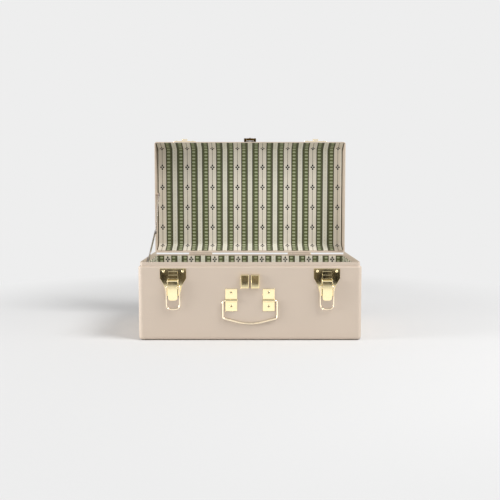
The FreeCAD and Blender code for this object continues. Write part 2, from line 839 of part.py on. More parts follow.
def handle_screws():
    screws = []
    for seat in handle_screw_seats():
        head = Part.makeCylinder(screw_head_radius, screw_head_height, seat, outward_front)
        rim = edges_where(head, lambda box: box.YMax < seat.y - screw_head_height / 2 and box.XLength > sheet)
        head = head.makeFillet(screw_head_height / 2, rim)
        grip = handle_plate_thickness + sheet
        shank = Part.makeCylinder(rivet_shank_radius, grip, seat - outward_front * grip, outward_front)
        nut_start = seat - outward_front * (grip + rivet_tail_height)
        nut = Part.makeCylinder(rivet_tail_radius, rivet_tail_height, nut_start, outward_front)
        cross_out = handle_plate_thickness + screw_head_height + cut_overrun
        level_low = front(seat.x - screw_cross_length / 2, cross_out, seat.z - screw_cross_width / 2)
        level = Part.makeBox(screw_cross_length, screw_cross_depth + cut_overrun, screw_cross_width, level_low)
        upright_low = front(seat.x - screw_cross_width / 2, cross_out, seat.z - screw_cross_length / 2)
        upright = Part.makeBox(screw_cross_width, screw_cross_depth + cut_overrun, screw_cross_length, upright_low)
        screws.append(fused([head, shank, nut]).cut(level.fuse(upright)))
    return Part.makeCompound(screws)


# Folding stay, inside the left end, drawn with the lid open

def stay_places():
    """The stay's three pivots (y, z) with the lid open."""
    case_end = stay_stud_place()
    knee = (stay_knee_back, case_height + stay_knee_rise)
    lid_end = (hinge_y + stay_lid_rise, hinge_z + stay_lid_reach)
    return case_end, knee, lid_end


def stay_bar_between(start, end, low_x):
    """Flat bar with round ends between two (y, z) places."""
    run_y, run_z = end[0] - start[0], end[1] - start[1]
    length = math.hypot(run_y, run_z)
    block = Part.makeBox(stay_bar, length, stay_width, Vector(low_x, 0, -stay_width / 2))
    block = block.fuse(rod_x(stay_width / 2, low_x, low_x + stay_bar, 0, 0))
    block = block.fuse(rod_x(stay_width / 2, low_x, low_x + stay_bar, length, 0)).removeSplitter()
    block.rotate(Vector(0, 0, 0), along_x, math.degrees(math.atan2(run_z, run_y)))
    block.translate(Vector(0, start[0], start[1]))
    return block


def stay_lower_arm():
    case_end, knee, lid_end = stay_places()
    bar = stay_bar_between(case_end, knee, stay_outer_x)
    hole = rod_x(stay_pin_radius + running_gap, stay_outer_x - cut_overrun, stay_outer_x + cut_overrun, *case_end)
    inner_face = stay_outer_x + stay_bar
    far_face = inner_face + face_gap + stay_bar
    pin = rod_x(stay_pin_radius, stay_outer_x, far_face + stay_head_height, *knee)
    head = rod_x(stay_head_radius, far_face + face_gap, far_face + face_gap + stay_head_height, *knee)
    return fused([bar.cut(hole), pin, head])


def stay_upper_arm():
    case_end, knee, lid_end = stay_places()
    low_x = stay_outer_x + stay_bar + face_gap
    bar = stay_bar_between(knee, lid_end, low_x)
    hole = rod_x(stay_pin_radius + running_gap, low_x - cut_overrun, low_x + cut_overrun, *knee)
    head = rod_x(stay_head_radius, low_x + stay_bar, low_x + stay_bar + stay_head_height, *lid_end)
    return fused([bar.cut(hole), head])


def stay_case_stud():
    case_end = stay_stud_place()
    far_face = stay_outer_x + stay_bar
    tail_start = -end_x + collar_inset - stay_stud_tail_height
    tail = rod_x(stay_stud_tail_radius, tail_start, -end_x + collar_inset, *case_end)
    pin = rod_x(stay_pin_radius, tail_start, far_face + face_gap, *case_end)
    head = rod_x(stay_head_radius, far_face + face_gap, far_face + face_gap + stay_head_height, *case_end)
    return fused([tail, pin, head])


def stay_lid_boss():
    case_end, knee, lid_end = stay_places()
    near_face = stay_outer_x + stay_bar
    return rod_x(stay_boss_radius, -end_x + sheet, near_face, *lid_end)


def rivets(seats, outward, grip, tail_height=rivet_tail_height):
    return Part.makeCompound([rivet(seat, outward, grip, tail_height) for seat in seats])


def save(name, shape):
    for solid in shape.Solids:
        if not solid.isValid() or solid.Volume <= 0:
            raise ValueError("bad solid in " + name)
    shape.exportStep("parts/" + name + ".step")
    print(name, len(shape.Solids), "solids", round(shape.Volume), "mm3")


sides = ("left", "right")

save("case_wall", case_wall())
save("case_bottom", case_bottom())
save("case_collar_front", case_collar_front())
save("case_collar_back", case_collar_back())
save("case_collar_left", case_collar_left())
save("case_collar_right", case_collar_right())
save("case_collar_corners", case_collar_corners())
save("case_floor_board", case_floor_board())
save("case_floor_lining", case_floor_lining())
save("case_lining", case_lining())
save("lid_shell", opened(lid_shell()))
save("lid_lining", opened(lid_lining()))

for side, centre in zip(sides, hinge_centres()):
    save("hinge_case_leaf_" + side, hinge_case_leaf(centre))
    save("hinge_lid_leaf_" + side, opened(hinge_lid_leaf(centre)))
save("hinge_pins", hinge_pins())
save("hinge_case_rivets", rivets(hinge_case_rivet_seats(), outward_back, hinge_leaf + sheet))
save("hinge_lid_rivets", opened(rivets(hinge_lid_rivet_seats(), outward_back, hinge_leaf + sheet)))

for side, centre in zip(sides, latch_centres()):
    save("latch_plate_" + side, latch_plate(centre))
    save("latch_lever_" + side, latch_lever(centre))
    save("latch_loop_" + side, latch_loop(centre))
    save("strike_" + side, opened(strike(centre)))
save("latch_pins", latch_pins())
save("latch_rivets", rivets(latch_rivet_seats(), outward_front, latch_plate_thickness + sheet))
save("strike_rivets", opened(rivets(strike_rivet_seats(), outward_front, strike_thickness + sheet, 0)))

save("staple_blocks", staple_blocks())
save("hasp_plate", opened(hasp_plate()))
save("hasp_flap", opened(hasp_flap_folded()))
save("hasp_pin", opened(hasp_pin()))
save("hasp_rivets", opened(rivets(hasp_rivet_seats(), outward_front, hasp_base + sheet, 0)))

for side, centre in zip(sides, handle_centres()):
    save("handle_plate_" + side, handle_plate(centre))
save("handle_bail", handle_bail())
save("handle_screws", handle_screws())

save("stay_lower_arm", stay_lower_arm())
save("stay_upper_arm", stay_upper_arm())
save("stay_case_stud", stay_case_stud())
save("stay_lid_boss", stay_lid_boss())
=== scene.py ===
import math

import bmesh
import bpy
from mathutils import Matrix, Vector


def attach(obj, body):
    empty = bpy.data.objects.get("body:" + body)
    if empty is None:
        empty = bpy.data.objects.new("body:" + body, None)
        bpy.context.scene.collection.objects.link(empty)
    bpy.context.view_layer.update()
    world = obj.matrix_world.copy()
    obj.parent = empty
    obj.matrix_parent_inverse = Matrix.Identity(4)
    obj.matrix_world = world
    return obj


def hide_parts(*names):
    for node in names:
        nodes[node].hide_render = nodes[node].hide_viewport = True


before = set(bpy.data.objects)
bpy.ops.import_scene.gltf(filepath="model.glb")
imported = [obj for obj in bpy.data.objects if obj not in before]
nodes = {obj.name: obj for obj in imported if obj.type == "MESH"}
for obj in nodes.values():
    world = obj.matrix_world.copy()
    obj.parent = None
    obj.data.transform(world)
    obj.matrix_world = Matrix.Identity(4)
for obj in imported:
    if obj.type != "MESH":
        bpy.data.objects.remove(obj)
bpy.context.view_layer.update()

# Camera, in front of the middle, a little above the middle of the open lid and tipped a little down

cameraView = {
    "place": (0.0, -1.4157, 0.2867),   # metres
    "tipDown": 4.287,                  # degrees below level
    "lens": 50.105,                    # mm
    "sensor": 36.0,                    # mm
    "shiftY": -0.02,
    "nearClip": 0.05,
    "farClip": 60.0,
}


def makeCamera():
    data = bpy.data.cameras.new("photoCamera")
    camera = bpy.data.objects.new("photoCamera", data)
    bpy.context.scene.collection.objects.link(camera)
    data.lens = cameraView["lens"]
    data.sensor_width = cameraView["sensor"]
    data.shift_y = cameraView["shiftY"]
    data.clip_start = cameraView["nearClip"]
    data.clip_end = cameraView["farClip"]
    camera.location = cameraView["place"]
    camera.rotation_euler = (math.radians(90.0 - cameraView["tipDown"]), 0.0, 0.0)
    bpy.context.scene.camera = camera


makeCamera()
bpy.context.scene.view_settings.view_transform = "Standard"
print("camera set")

# Tools used all through the file

tiny = 1e-5                            # metres, when two places count as the same
smoothAngle = 35                       # degrees, sharper edges stay sharp


def linearColour(hexText):
    # the colour as written in sRGB, turned into the linear values that a node takes
    parts = [int(hexText[i:i + 2], 16) / 255.0 for i in (1, 3, 5)]
    linear = [p / 12.92 if p <= 0.04045 else ((p + 0.055) / 1.055) ** 2.4 for p in parts]
    return (*linear, 1.0)


def addNode(tree, kind, settings=None, links=None):
    # a setting is one of the node's own properties, or else one of its inputs
    node = tree.nodes.new(kind)
    for key, value in (settings or {}).items():
        if isinstance(key, str) and hasattr(node, key):
            setattr(node, key, value)
        else:
            node.inputs[key].default_value = value
    for key, source in (links or {}).items():
        tree.links.new(source, node.inputs[key])
    return node


def startMaterial(name, settings=None):
    material = bpy.data.materials.new(name)
    material.use_nodes = True
    tree = material.node_tree
    tree.nodes.clear()
    shader = addNode(tree, "ShaderNodeBsdfPrincipled", settings)
    addNode(tree, "ShaderNodeOutputMaterial", links={"Surface": shader.outputs[0]})
    return material, tree, shader


def useMaterial(piece, material):
    piece.data.materials.clear()
    piece.data.materials.append(material)


def deselectAll():
    if bpy.context.object and bpy.context.object.mode != "OBJECT":
        bpy.ops.object.mode_set(mode="OBJECT")
    bpy.ops.object.select_all(action="DESELECT")


def selectOnly(piece):
    deselectAll()
    piece.select_set(True)
    bpy.context.view_layer.objects.active = piece


# Studio: pale floor and background, three soft lamps, and cards that only reflections see

studio = {
    "background": "#EEEEEE",
    "worldLight": 0.51,
    "lampAim": (0, 0, 0.15),
    "keyPower": 56.0,
    "keyPlace": (1.6, -0.85, 2.35),
    "keySize": 1.2,
    "sideSize": 0.8,
    "leftPower": 37.0,
    "leftPlace": (-2.2, -0.55, 0.45),
    "rightPower": 7.0,
    "rightPlace": (2.2, -0.55, 0.45),
    "floorSize": 9.0,
    "floorColour": "#DDDDDD",
    "floorFadeStart": 0.55,            # metres from the trunk
    "floorFadeEnd": 1.0,
    "cardWidth": 3.0,
    "uprightCardY": -0.88,             # where the two upright cards stand
    "lowCardHeight": 0.049,
    "highCardHalf": 0.09,              # the hasp's edge reflects the high card
    "highCardHeights": (0.42, 1.20),
    "darkReflectionSheet": "#120A03",
    "whiteCardFront": -0.80,           # the white card lies on the floor before the trunk
    "whiteCardBack": -0.16,
    "whiteCardLevel": 0.001,
    "whiteCardGlow": 1.24,
}

brownReflectionLook = {
    "dark": "#0E0A05",
    "light": "#A3967F",
    "lightX": 0.09,                    # metres from the middle, light up to here
    "darkX": 0.19,                     # and darkest from here on
    "darkShare": 0.36,                 # how much of the light colour is left there
    "blotchScale": 40.0,
    "blotchRange": (0.40, 0.60),
}


def seenDirectly(tree):
    # 1 for what the camera sees, straight, by reflection or through glass; 0 for the light that falls on things
    path = addNode(tree, "ShaderNodeLightPath")
    seen = addNode(tree, "ShaderNodeMath", {"operation": "MAXIMUM"},
                   {0: path.outputs["Is Camera Ray"], 1: path.outputs["Is Glossy Ray"]})
    return addNode(tree, "ShaderNodeMath", {"operation": "MAXIMUM"},
                   {0: seen.outputs[0], 1: path.outputs["Is Transmission Ray"]})


def makeWorld():
    world = bpy.data.worlds.new("studioWorld")
    bpy.context.scene.world = world
    world.use_nodes = True
    tree = world.node_tree
    tree.nodes.clear()
    seen = seenDirectly(tree)
    lighting = addNode(tree, "ShaderNodeBackground", {"Color": (1, 1, 1, 1), "Strength": studio["worldLight"]})
    backdrop = addNode(tree, "ShaderNodeBackground",
                       {"Color": linearColour(studio["background"]), "Strength": 1.0})
    mix = addNode(tree, "ShaderNodeMixShader",
                  links={0: seen.outputs[0], 1: lighting.outputs[0], 2: backdrop.outputs[0]})
    addNode(tree, "ShaderNodeOutputWorld", links={"Surface": mix.outputs[0]})


def makeLamp(name, power, place, size):
    data = bpy.data.lights.new(name, "AREA")
    data.shape = "SQUARE"
    data.size = size
    data.energy = power
    lamp = bpy.data.objects.new(name, data)
    bpy.context.scene.collection.objects.link(lamp)
    lamp.location = place
    toTrunk = Vector(studio["lampAim"]) - Vector(place)
    lamp.rotation_euler = toTrunk.to_track_quat("-Z", "Y").to_euler()


def paperMaterial():
    # White paper sweep, matt, that fades into the background further away
    material, tree, shader = startMaterial("paperSweepMattWhite", {
        "Base Color": linearColour(studio["floorColour"]), "Roughness": 0.9, "Specular IOR Level": 0.0})
    place = addNode(tree, "ShaderNodeTexCoord")
    distance = addNode(tree, "ShaderNodeVectorMath", {"operation": "LENGTH"}, {0: place.outputs["Object"]})
    far = addNode(tree, "ShaderNodeMapRange",
                  {"interpolation_type": "SMOOTHSTEP", "From Min": studio["floorFadeStart"],
                   "From Max": studio["floorFadeEnd"]}, {"Value": distance.outputs["Value"]})
    seen = seenDirectly(tree)
    blend = addNode(tree, "ShaderNodeMath", {"operation": "MULTIPLY"}, {0: far.outputs[0], 1: seen.outputs[0]})
    glow = addNode(tree, "ShaderNodeEmission",
                   {"Color": linearColour(studio["background"]), "Strength": 1.0})
    mix = addNode(tree, "ShaderNodeMixShader",
                  links={0: blend.outputs[0], 1: shader.outputs[0], 2: glow.outputs[0]})
    tree.links.new(mix.outputs[0], tree.nodes["Material Output"].inputs["Surface"])
    return material


def makeFloor():
    deselectAll()
    bpy.ops.mesh.primitive_plane_add(size=studio["floorSize"], location=(0, 0, 0))
    floor = bpy.context.object
    floor.name = "studioFloor"
    useMaterial(floor, paperMaterial())


def makeCard(name, halfWidth, firstEdge, secondEdge, material):
    # a flat card between two edges, each given as y, z, that no camera or diffuse ray sees
    deselectAll()
    bpy.ops.mesh.primitive_plane_add(size=1.0, location=(0, 0, 0))
    card = bpy.context.object
    card.name = name
    corners = [(x, *edge) for edge in (firstEdge, secondEdge) for x in (-halfWidth, halfWidth)]
    for vertex, corner in zip(card.data.vertices, corners):
        vertex.co = corner
    useMaterial(card, material)
    card.visible_camera = False
    card.visible_diffuse = False
    card.visible_shadow = False
    card.visible_transmission = False


def brownReflectionGlowMaterial():
    # Glowing brown card that only reflections see: a painted reflection, blotchy and darker to the sides, that gives
    # the brass its brown upper parts
    material, tree, shader = startMaterial("paintedReflectionBrown", {
        "Base Color": (0, 0, 0, 1), "Specular IOR Level": 0.0, "Emission Strength": 1.0})
    place = addNode(tree, "ShaderNodeTexCoord")
    parts = addNode(tree, "ShaderNodeSeparateXYZ", links={0: place.outputs["Object"]})
    away = addNode(tree, "ShaderNodeMath", {"operation": "ABSOLUTE"}, {0: parts.outputs[0]})
    side = addNode(tree, "ShaderNodeMapRange",
                   {"From Min": brownReflectionLook["lightX"], "From Max": brownReflectionLook["darkX"],
                    "To Min": 1.0, "To Max": brownReflectionLook["darkShare"]}, {"Value": away.outputs[0]})
    blotch = addNode(tree, "ShaderNodeTexNoise", {"Scale": brownReflectionLook["blotchScale"], "Detail": 3.0},
                     {"Vector": place.outputs["Object"]})
    low, high = brownReflectionLook["blotchRange"]
    blotch = addNode(tree, "ShaderNodeMapRange", {"From Min": low, "From Max": high}, {"Value": blotch.outputs["Fac"]})
    share = addNode(tree, "ShaderNodeMath", {"operation": "MULTIPLY"}, {0: side.outputs[0], 1: blotch.outputs[0]})
    colour = addNode(tree, "ShaderNodeMix",
                     {"data_type": "RGBA", 6: linearColour(brownReflectionLook["dark"]), 7: linearColour(brownReflectionLook["light"])},
                     {0: share.outputs[0]})
    tree.links.new(colour.outputs[2], shader.inputs["Emission Color"])
    return material


def makeCards():
    place = studio["uprightCardY"]
    makeCard("darkReflectionCard", studio["cardWidth"] / 2, (place, 0), (place, studio["lowCardHeight"]),
             brownReflectionGlowMaterial())
    # Black sheet that only reflections see: a painted dark reflection that gives the hasp's edge its dark tone
    darkReflectionSheet = startMaterial("paintedReflectionBlack", {
        "Base Color": linearColour(studio["darkReflectionSheet"]), "Roughness": 1.0})[0]
    low, high = studio["highCardHeights"]
    makeCard("darkReflectionCardHigh", studio["highCardHalf"], (place, low), (place, high), darkReflectionSheet)
    # Glowing white card that only reflections see: a painted reflection that gives the brass its pale lower parts
    white = startMaterial("paintedReflectionWhite", {
        "Base Color": (0, 0, 0, 1), "Specular IOR Level": 0.0,
        "Emission Color": (1, 1, 1, 1), "Emission Strength": studio["whiteCardGlow"]})[0]
    level = studio["whiteCardLevel"]
    makeCard("whiteReflectionCard", studio["cardWidth"] / 2, (studio["whiteCardFront"], level),
             (studio["whiteCardBack"], level), white)


makeWorld()
makeLamp("keyLamp", studio["keyPower"], studio["keyPlace"], studio["keySize"])
makeLamp("leftLamp", studio["leftPower"], studio["leftPlace"], studio["sideSize"])
makeLamp("rightLamp", studio["rightPower"], studio["rightPlace"], studio["sideSize"])
makeFloor()
makeCards()
print("studio built")

# Materials

paintLook = {
    "colour": "#D0C0AF",
    "shade": "#CCBBAA",
    "roughness": 0.42,
    "jointShade": "#6B5848",
    "jointReach": 0.0034,              # metres
    "cloudScale": 9.0,
    "peelScale": 420.0,                # orange peel about 2.5 mm across
    "peelStrength": 0.06,
    "peelDepth": 0.0004,               # metres
}

metalLook = {
    "jointReach": 0.0012,              # metres
    "dullScale": 110.0,                # patches about 9 mm across
    "roughShares": (0.8, 1.3),         # least and most, as a share of the metal's own roughness
    "wornEdge": 0.0004,                # metres
}
brassLook = {"colour": "#FAEBC0", "dull": "#F3E1B2", "roughness": 0.055, "paintedShade": "#3A2C12"}
# a paler copy of the brass: painted highlight for the wire bail, the loops and the strikes
highlightBrassLook = {"colour": "#FFF3DA", "dull": "#F9E9CA", "roughness": 0.10, "paintedShade": "#3A2C12"}
# a darker copy of the brass, for the hasp
darkBrassLook = {"colour": "#6E5228", "dull": "#4C381B", "roughness": 0.10, "paintedShade": "#1C150A"}
nickelLook = {"colour": "#C9C1BC", "dull": "#B5ADA8", "roughness": 0.16, "paintedShade": "#2A2623"}

boardLook = {"dark": "#6E5138", "light": "#8C6B4C", "fibreScale": 300.0}      # fibres about 3 mm long
recessShadeAndDirtLook = {"dark": "#3B3520", "light": "#544B2E", "grainScale": 900.0}     # grains about 1 mm across

openJoint = (0.15, 0.62)               # how open a joint is where the painted shade is darkest, and where it ends

lidTickingLook = {
    "period": 0.0566,                  # metres from one plain stripe to the next
    "rowHeight": 0.2426,               # a row of sprigs lies here, metres along the cloth
    "clean": 1.0,
}
# the case's cloth is painted 13 % brighter than the lid's: painted light for the brighter inside of the case
caseTickingLook = {"period": 0.0520, "rowHeight": 0.1289, "clean": 1.13}
ticking = {
    "motifPitch": 0.0452,              # metres from sprig to sprig
    "rungsPerMotif": 6,
    "bandMiddle": 0.219,               # the green stripe, in periods from the middle of a plain stripe
    "bandHalf": 0.131,
    "bandInnerHalf": 0.105,
    "rungMiddle": 0.243,
    "rungHalf": 0.060,
    "rungRise": 0.235,                 # half of a rung's height, as a share of their spacing
    "rungSquareness": 3.0,             # 2 would make the rungs oval
    "dotHalf": 0.016,                  # in periods
    "dotRise": 0.2,                    # as a share of the rungs' spacing
    "warmFrom": 0.352,                 # the wide stripe, a shade warmer, begins here
    "petals": (((0.0028, 0.0), (0.0021, 0.0018)),   # middle and radii, metres: the two at the sides
               ((0.0, 0.0040), (0.0017, 0.0026))),  # and the two above and below
    "lineHalf": 0.0006,                # metres
    "lineGap": 0.0075,                 # the line stays this far from a sprig's middle
    "cream": "#E0DDCD",
    "motifGround": "#E0D9CA",
    "darkGreen": "#585B42",
    "bandEdge": "#3F3520",
    "heartGreen": "#636944",
    "dot": "#CDC6B1",
    "rung": "#ABB18E",
    "line": "#8C7E68",
    "motif": "#1F1910",
    "weaveScale": 60.0,
    "weaveShades": (0.92, 1.06),
    "threadSpacing": 0.0009,           # metres
    "threadStrength": 0.25,
    "threadDepth": 0.0003,             # metres
}


def addGrain(tree, first, second, scale, detail):
    # two close colours blended by a noise: gives the noise and the colour
    place = addNode(tree, "ShaderNodeTexCoord")
    grain = addNode(tree, "ShaderNodeTexNoise", {"Scale": scale, "Detail": detail}, {"Vector": place.outputs["Object"]})
    colour = addNode(tree, "ShaderNodeMix", {"data_type": "RGBA", 6: linearColour(first), 7: linearColour(second)},
                     {0: grain.outputs["Fac"]})
    return grain, colour


def addJointShade(tree, colour, paintedShade, reach):
    # painted shade that darkens narrow joints, found by ambient occlusion
    joint = addNode(tree, "ShaderNodeAmbientOcclusion", {"samples": 8, "Distance": reach})
    clean = addNode(tree, "ShaderNodeMapRange", {"From Min": openJoint[0], "From Max": openJoint[1]},
                    {"Value": joint.outputs["AO"]})
    return addNode(tree, "ShaderNodeMix", {"data_type": "RGBA", 6: linearColour(paintedShade)},
                   {0: clean.outputs[0], 7: colour})


def powderCoatMaterial():
    # Steel sheet with a satin powder coat: even colour, a faint orange-peel skin
    material, tree, shader = startMaterial("powderCoatedSteelBeige", {"Roughness": paintLook["roughness"]})
    colour = addGrain(tree, paintLook["shade"], paintLook["colour"], paintLook["cloudScale"], 3.0)[1]
    # painted shade in the narrow joints
    colour = addJointShade(tree, colour.outputs[2], paintLook["jointShade"], paintLook["jointReach"])
    tree.links.new(colour.outputs[2], shader.inputs["Base Color"])
    place = addNode(tree, "ShaderNodeTexCoord")
    peel = addNode(tree, "ShaderNodeTexNoise", {"Scale": paintLook["peelScale"], "Detail": 2.0},
                   {"Vector": place.outputs["Object"]})
    bump = addNode(tree, "ShaderNodeBump",
                   {"Strength": paintLook["peelStrength"], "Distance": paintLook["peelDepth"]},
                   {"Height": peel.outputs["Fac"]})
    tree.links.new(bump.outputs[0], shader.inputs["Normal"])
    return material


def polishedMaterial(name, look):
    # Polished metal: a little dulling in patches, painted shade in the joints, worn edges that catch the light
    material, tree, shader = startMaterial(name, {"Metallic": 1.0})
    dull, tint = addGrain(tree, look["dull"], look["colour"], metalLook["dullScale"], 3.0)
    tint = addJointShade(tree, tint.outputs[2], look["paintedShade"], metalLook["jointReach"])
    tree.links.new(tint.outputs[2], shader.inputs["Base Color"])
    low, high = metalLook["roughShares"]
    rough = addNode(tree, "ShaderNodeMapRange", {"To Min": look["roughness"] * low, "To Max": look["roughness"] * high},
                    {"Value": dull.outputs["Fac"]})
    tree.links.new(rough.outputs[0], shader.inputs["Roughness"])
    soft = addNode(tree, "ShaderNodeBevel", {"samples": 6, "Radius": metalLook["wornEdge"]})
    tree.links.new(soft.outputs[0], shader.inputs["Normal"])
    return material


def tickingMaterial(name, look):
    # Woven cotton ticking: cream ground, green ladder stripes, small four-petal sprigs
    material, tree, shader = startMaterial(name, {"Roughness": 0.9, "Specular IOR Level": 0.2, "Sheen Weight": 0.08})
    uv = addNode(tree, "ShaderNodeUVMap", {"uv_map": "clothPlace"})
    split = addNode(tree, "ShaderNodeSeparateXYZ", links={0: uv.outputs[0]})
    across, along = split.outputs[0], split.outputs[1]
    # distance from the middle of a plain cream stripe, in periods from 0 to a half
    turns = addNode(tree, "ShaderNodeMath", {"operation": "DIVIDE", 1: look["period"]}, {0: across})
    fromPlain = addNode(tree, "ShaderNodeMath", {"operation": "PINGPONG", 1: 0.5}, {0: turns.outputs[0]})
    # a green stripe, with a dark selvedge line along both sides
    green = addNode(tree, "ShaderNodeMath", {"operation": "COMPARE", 1: ticking["bandMiddle"], 2: ticking["bandHalf"]},
                    {0: fromPlain.outputs[0]})
    inner = addNode(tree, "ShaderNodeMath",
                    {"operation": "COMPARE", 1: ticking["bandMiddle"], 2: ticking["bandInnerHalf"]},
                    {0: fromPlain.outputs[0]})
    bandEdge = addNode(tree, "ShaderNodeMath", {"operation": "SUBTRACT"}, {0: green.outputs[0], 1: inner.outputs[0]})
    # rows of sprigs, and the rungs between them
    shifted = addNode(tree, "ShaderNodeMath", {"operation": "SUBTRACT", 1: look["rowHeight"]}, {0: along})
    rows = addNode(tree, "ShaderNodeMath", {"operation": "DIVIDE", 1: ticking["motifPitch"]}, {0: shifted.outputs[0]})
    rungs = addNode(tree, "ShaderNodeMath", {"operation": "MULTIPLY", 1: ticking["rungsPerMotif"]},
                    {0: rows.outputs[0]})
    beat = addNode(tree, "ShaderNodeMath", {"operation": "PINGPONG", 1: 0.5}, {0: rungs.outputs[0]})
    # ladder rungs with rounded ends, inside the green stripe
    rungSide = addNode(tree, "ShaderNodeMath", {"operation": "SUBTRACT", 1: ticking["rungMiddle"]},
                       {0: fromPlain.outputs[0]})
    rungSide = addNode(tree, "ShaderNodeMath", {"operation": "DIVIDE", 1: ticking["rungHalf"]},
                       {0: rungSide.outputs[0]})
    rungSide = addNode(tree, "ShaderNodeMath", {"operation": "ABSOLUTE"}, {0: rungSide.outputs[0]})
    rungSide = addNode(tree, "ShaderNodeMath", {"operation": "POWER", 1: ticking["rungSquareness"]},
                       {0: rungSide.outputs[0]})
    rungUp = addNode(tree, "ShaderNodeMath", {"operation": "SUBTRACT", 0: 0.5}, {1: beat.outputs[0]})
    rungUp = addNode(tree, "ShaderNodeMath", {"operation": "DIVIDE", 1: ticking["rungRise"]}, {0: rungUp.outputs[0]})
    rungUp = addNode(tree, "ShaderNodeMath", {"operation": "POWER", 1: ticking["rungSquareness"]},
                     {0: rungUp.outputs[0]})
    rungField = addNode(tree, "ShaderNodeMath", {"operation": "ADD"}, {0: rungSide.outputs[0], 1: rungUp.outputs[0]})
    rung = addNode(tree, "ShaderNodeMath", {"operation": "LESS_THAN", 1: 1.0}, {0: rungField.outputs[0]})
    heart = addNode(tree, "ShaderNodeMath", {"operation": "LESS_THAN", 1: 1.0}, {0: rungSide.outputs[0]})
    # sprigs in the middle of the wide cream stripe, measured in metres from their own middle
    side = addNode(tree, "ShaderNodeMath", {"operation": "SUBTRACT", 0: 0.5}, {1: fromPlain.outputs[0]})
    side = addNode(tree, "ShaderNodeMath", {"operation": "MULTIPLY", 1: look["period"]}, {0: side.outputs[0]})
    up = addNode(tree, "ShaderNodeMath", {"operation": "PINGPONG", 1: 0.5}, {0: rows.outputs[0]})
    up = addNode(tree, "ShaderNodeMath", {"operation": "MULTIPLY", 1: ticking["motifPitch"]}, {0: up.outputs[0]})
    petals = []
    for middle, radii in ticking["petals"]:
        squares = []
        for distance, centre, radius in zip((side, up), middle, radii):
            term = addNode(tree, "ShaderNodeMath", {"operation": "SUBTRACT", 1: centre}, {0: distance.outputs[0]})
            term = addNode(tree, "ShaderNodeMath", {"operation": "DIVIDE", 1: radius}, {0: term.outputs[0]})
            squares.append(addNode(tree, "ShaderNodeMath", {"operation": "MULTIPLY"},
                                   {0: term.outputs[0], 1: term.outputs[0]}))
        field = addNode(tree, "ShaderNodeMath", {"operation": "ADD"},
                        {0: squares[0].outputs[0], 1: squares[1].outputs[0]})
        petals.append(addNode(tree, "ShaderNodeMath", {"operation": "LESS_THAN", 1: 1.0}, {0: field.outputs[0]}))
    sprig = addNode(tree, "ShaderNodeMath", {"operation": "MAXIMUM"},
                    {0: petals[0].outputs[0], 1: petals[1].outputs[0]})
    # a thin line from sprig to sprig
    thin = addNode(tree, "ShaderNodeMath", {"operation": "LESS_THAN", 1: ticking["lineHalf"]}, {0: side.outputs[0]})
    clear = addNode(tree, "ShaderNodeMath", {"operation": "GREATER_THAN", 1: ticking["lineGap"]}, {0: up.outputs[0]})
    line = addNode(tree, "ShaderNodeMath", {"operation": "MULTIPLY"}, {0: thin.outputs[0], 1: clear.outputs[0]})
    # a dotted line in the middle of the plain stripe, a dot between each two rungs
    centre = addNode(tree, "ShaderNodeMath", {"operation": "LESS_THAN", 1: ticking["dotHalf"]},
                     {0: fromPlain.outputs[0]})
    between = addNode(tree, "ShaderNodeMath", {"operation": "LESS_THAN", 1: ticking["dotRise"]}, {0: beat.outputs[0]})
    dots = addNode(tree, "ShaderNodeMath", {"operation": "MULTIPLY"}, {0: centre.outputs[0], 1: between.outputs[0]})
    # colours laid over each other
    warm = addNode(tree, "ShaderNodeMath", {"operation": "GREATER_THAN", 1: ticking["warmFrom"]},
                   {0: fromPlain.outputs[0]})
    colour = addNode(tree, "ShaderNodeMix", {"data_type": "RGBA", 6: linearColour(ticking["cream"]),
                                             7: linearColour(ticking["motifGround"])}, {0: warm.outputs[0]})
    for thread, shape in (("darkGreen", green), ("bandEdge", bandEdge), ("heartGreen", heart), ("dot", dots),
                          ("rung", rung), ("line", line), ("motif", sprig)):
        colour = addNode(tree, "ShaderNodeMix", {"data_type": "RGBA", 7: linearColour(ticking[thread])},
                         {0: shape.outputs[0], 6: colour.outputs[2]})
    weave = addNode(tree, "ShaderNodeTexNoise", {"Scale": ticking["weaveScale"], "Detail": 5.0},
                    {"Vector": uv.outputs[0]})
    low, high = ticking["weaveShades"]
    # the weave's tone times the painted light share
    shade = addNode(tree, "ShaderNodeMapRange", {"To Min": low * look["clean"], "To Max": high * look["clean"]},
                    {"Value": weave.outputs["Fac"]})
    colour = addNode(tree, "ShaderNodeVectorMath", {"operation": "SCALE"},
                     {0: colour.outputs[2], "Scale": shade.outputs[0]})
    tree.links.new(colour.outputs[0], shader.inputs["Base Color"])
    # threads, drawn at 0.9 mm so that they show at this size; the real ones are about 0.4 mm
    threads = addNode(tree, "ShaderNodeVectorMath", {"operation": "SCALE", "Scale": math.pi / ticking["threadSpacing"]},
                      {0: uv.outputs[0]})
    parts = addNode(tree, "ShaderNodeSeparateXYZ", links={0: threads.outputs[0]})
    warp = addNode(tree, "ShaderNodeMath", {"operation": "SINE"}, {0: parts.outputs[0]})
    weft = addNode(tree, "ShaderNodeMath", {"operation": "SINE"}, {0: parts.outputs[1]})
    both = addNode(tree, "ShaderNodeMath", {"operation": "MULTIPLY"}, {0: warp.outputs[0], 1: weft.outputs[0]})
    bump = addNode(tree, "ShaderNodeBump",
                   {"Strength": ticking["threadStrength"], "Distance": ticking["threadDepth"]},
                   {"Height": both.outputs[0]})
    tree.links.new(bump.outputs[0], shader.inputs["Normal"])
    return material


def boardMaterial():
    # Hardboard: brown pressed fibre
    material, tree, shader = startMaterial("hardboardPressed", {"Roughness": 0.8})
    colour = addGrain(tree, boardLook["dark"], boardLook["light"], boardLook["fibreScale"], 6.0)[1]
    tree.links.new(colour.outputs[2], shader.inputs["Base Color"])
    return material


